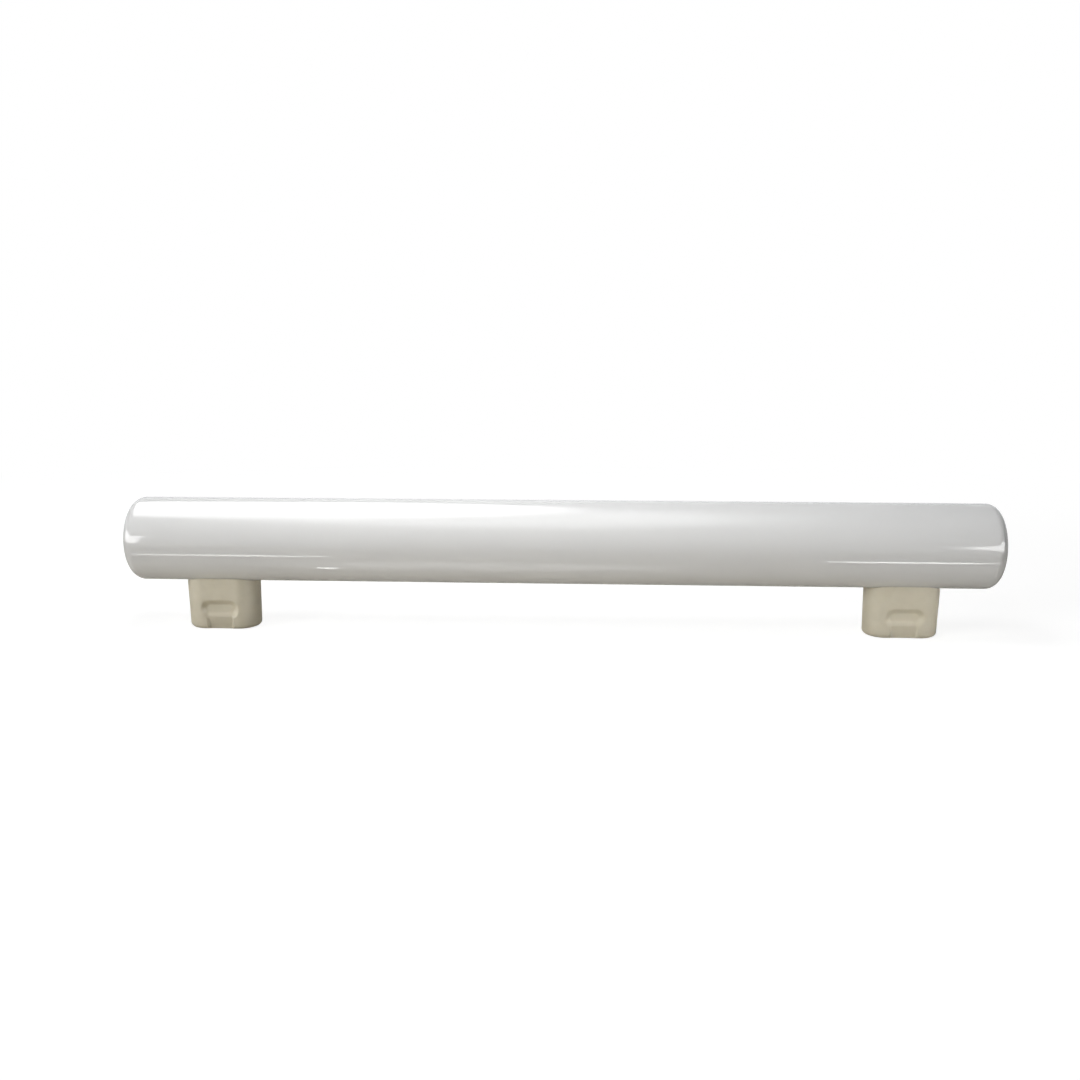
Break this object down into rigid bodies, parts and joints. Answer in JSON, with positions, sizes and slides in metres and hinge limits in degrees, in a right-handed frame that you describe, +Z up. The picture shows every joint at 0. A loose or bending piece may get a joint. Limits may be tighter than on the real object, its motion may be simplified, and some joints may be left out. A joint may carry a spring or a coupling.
{
  "type": "tubular light bulb",
  "caption": "Straight opal glass tube lamp with shallow domed ends, standing on moulded side caps that have spring pockets, lead-in ramps and recessed contacts.",
  "frame": {"origin": "midway between the caps, on the level of their feet, under the axis of the tube", "axes": "+X along the tube to the picture's right, +Y away from the picture's camera, +Z up"},
  "size_m": [0.3, 0.029, 0.0457],
  "materials": {
    "opal_glass": "glossy opal white",
    "cap_moulding": "fine satin moulding in beige",
    "contact_brass": "pressed",
    "lead_wire": "drawn",
    "solder": "dull grey",
    "cement": "matt"
  },
  "bodies": {
    "root": {"glass_tube": "opal_glass", "left_cap": "cap_moulding", "left_contact": "contact_brass", "left_lead": "lead_wire", "left_solder": "solder", "left_cement": "cement", "right_cap": "cap_moulding", "right_contact": "contact_brass", "right_lead": "lead_wire", "right_solder": "solder", "right_cement": "cement"}
  },
  "joints": []
}
